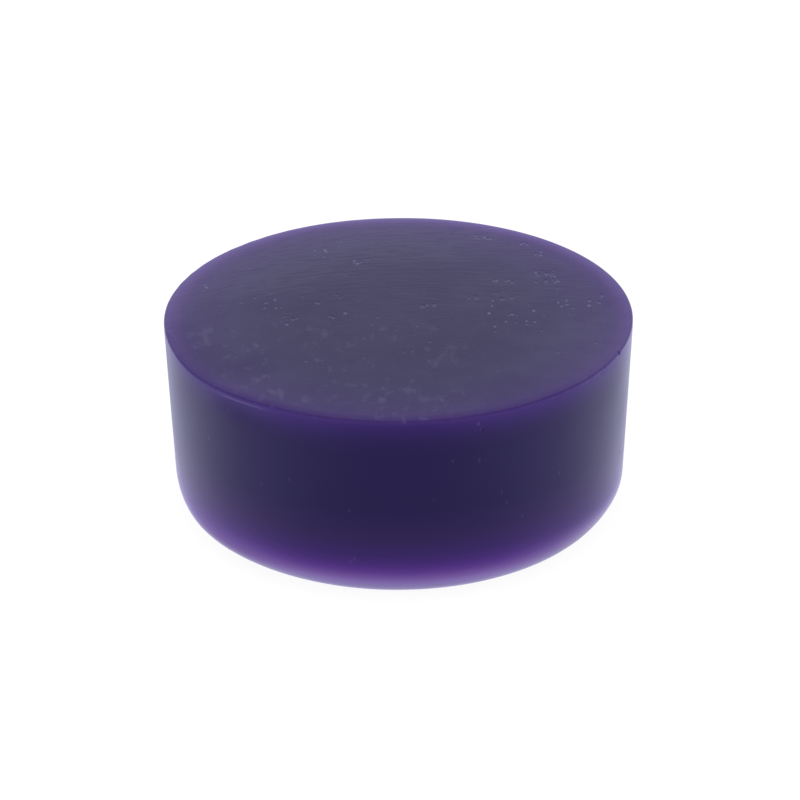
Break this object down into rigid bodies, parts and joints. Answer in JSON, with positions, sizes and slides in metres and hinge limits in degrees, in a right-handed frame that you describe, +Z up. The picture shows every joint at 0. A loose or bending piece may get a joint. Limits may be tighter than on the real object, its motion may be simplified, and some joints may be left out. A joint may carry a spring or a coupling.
{
  "type": "shaving soap puck",
  "caption": "Round poured cake of translucent glycerin shaving soap with a wide flat top and a rounded base corner, for lathering with a wet brush in a mug or bowl.",
  "frame": {"origin": "centre of the flat base that the cake rests on", "axes": "+Z up along the cake's round axis, from the base to the wide pour face; X and Y are alike"},
  "size_m": [0.07, 0.07, 0.03],
  "materials": {
    "violet_glycerin_soap": "deep violet translucent glycerin soap, glossy cast sides with a satin pour face"
  },
  "bodies": {
    "root": {"soap_puck": "violet_glycerin_soap"}
  },
  "joints": []
}
